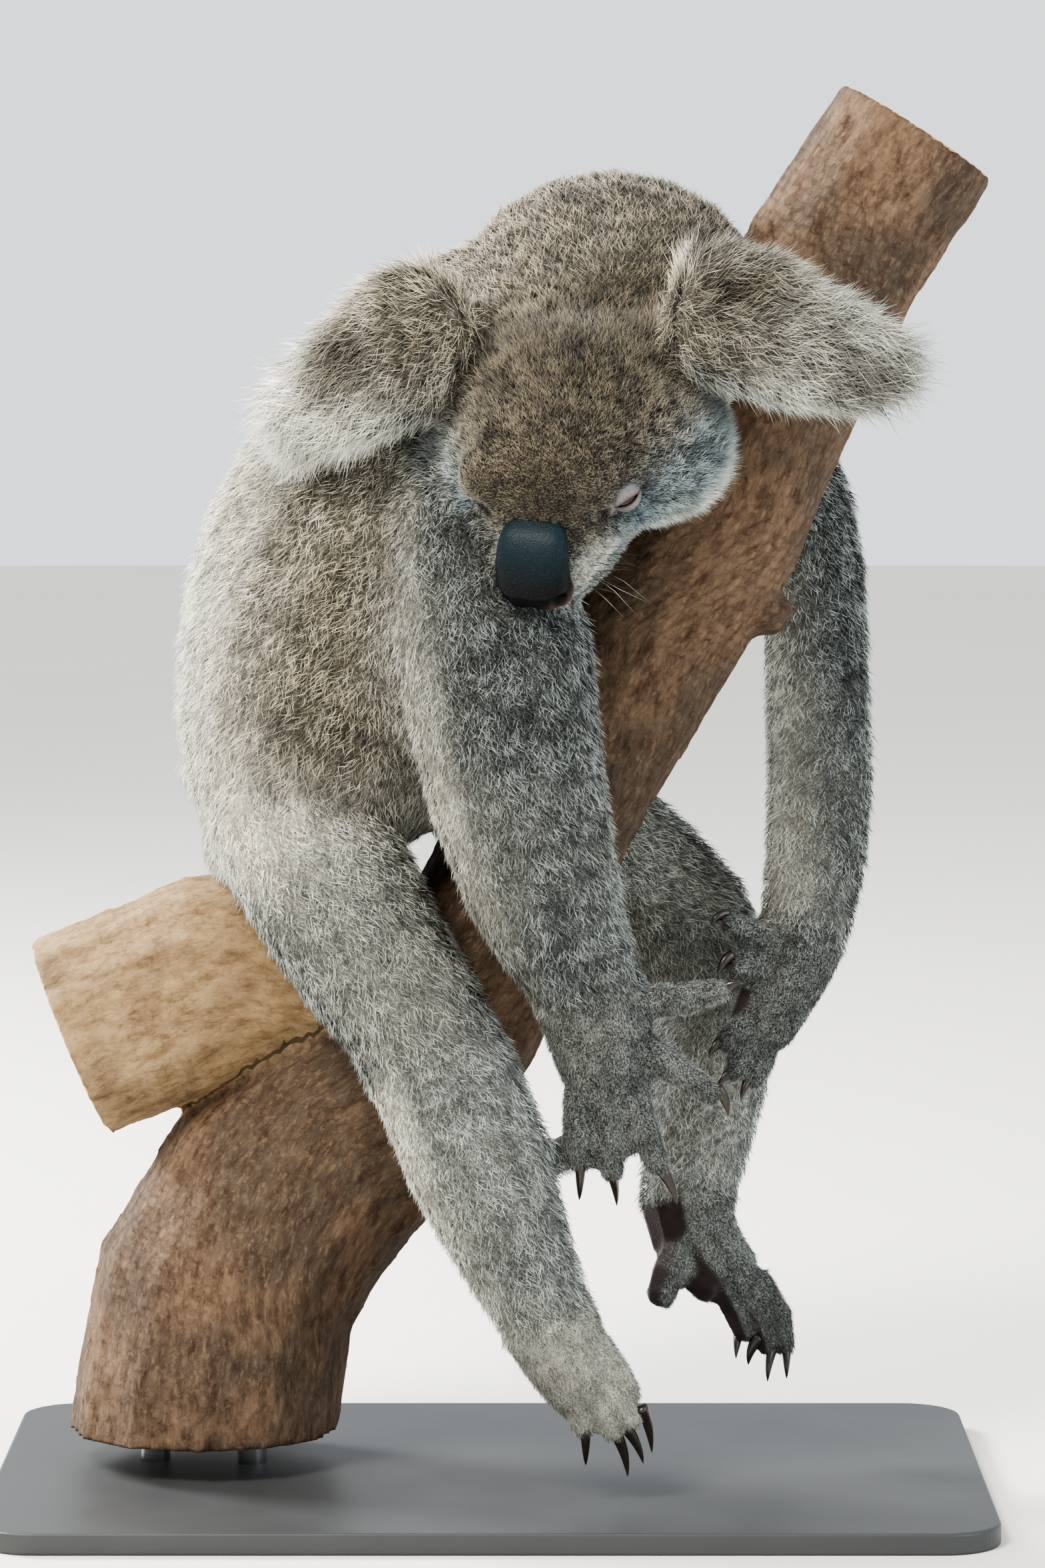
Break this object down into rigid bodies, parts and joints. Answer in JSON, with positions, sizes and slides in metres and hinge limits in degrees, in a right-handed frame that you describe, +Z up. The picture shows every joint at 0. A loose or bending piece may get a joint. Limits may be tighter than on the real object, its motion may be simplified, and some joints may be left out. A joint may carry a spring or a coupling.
{
  "type": "koala display model",
  "caption": "Life-size still model of a sleeping koala draped over the fork of a cut gum limb, held on a flat display stand.",
  "frame": {"origin": "centre of the stand's flat underside", "axes": "+Z up, +X to the right and +Y away as the front of the model is seen, with the face and near flank towards -Y"},
  "size_m": [0.4614, 0.296, 0.6543],
  "materials": {
    "coat": "dense grey-brown fur with cream tips, white rump and ear fringes",
    "nose_leather": "bare pebbled charcoal skin, slightly moist",
    "eye": "wet dark brown eye behind nearly closed lids",
    "claw_horn": "polished black horn",
    "bark": "smooth to fibrous tan gum bark with sawn ends",
    "stand_board": "matt charcoal lacquered board",
    "stand_steel": "satin turned steel rod"
  },
  "bodies": {
    "root": {"stand_base": "stand_board", "stand_rod_1": "stand_steel", "stand_rod_2": "stand_steel", "perch": "bark", "head": "coat", "neck": "coat", "trunk": "coat", "nose": "nose_leather", "eye_left": "eye", "eye_right": "eye", "ear_left": "coat", "ear_right": "coat", "upper_arm_right": "coat", "forearm_right": "coat", "hand_right": "coat", "claw_thumb_1_right": "claw_horn", "claw_thumb_2_right": "claw_horn", "claw_finger_3_right": "claw_horn", "claw_finger_4_right": "claw_horn", "claw_finger_5_right": "claw_horn", "upper_arm_left": "coat", "forearm_left": "coat", "hand_left": "coat", "claw_thumb_1_left": "claw_horn", "claw_thumb_2_left": "claw_horn", "claw_finger_3_left": "claw_horn", "claw_finger_4_left": "claw_horn", "claw_finger_5_left": "claw_horn", "thigh_right": "coat", "shank_right": "coat", "foot_right": "coat", "claw_toe_2_right": "claw_horn", "claw_toe_3_right": "claw_horn", "claw_toe_4_right": "claw_horn", "claw_toe_5_right": "claw_horn", "thigh_left": "coat", "shank_left": "coat", "foot_left": "coat", "claw_toe_2_left": "claw_horn", "claw_toe_3_left": "claw_horn", "claw_toe_4_left": "claw_horn", "claw_toe_5_left": "claw_horn"}
  },
  "joints": []
}
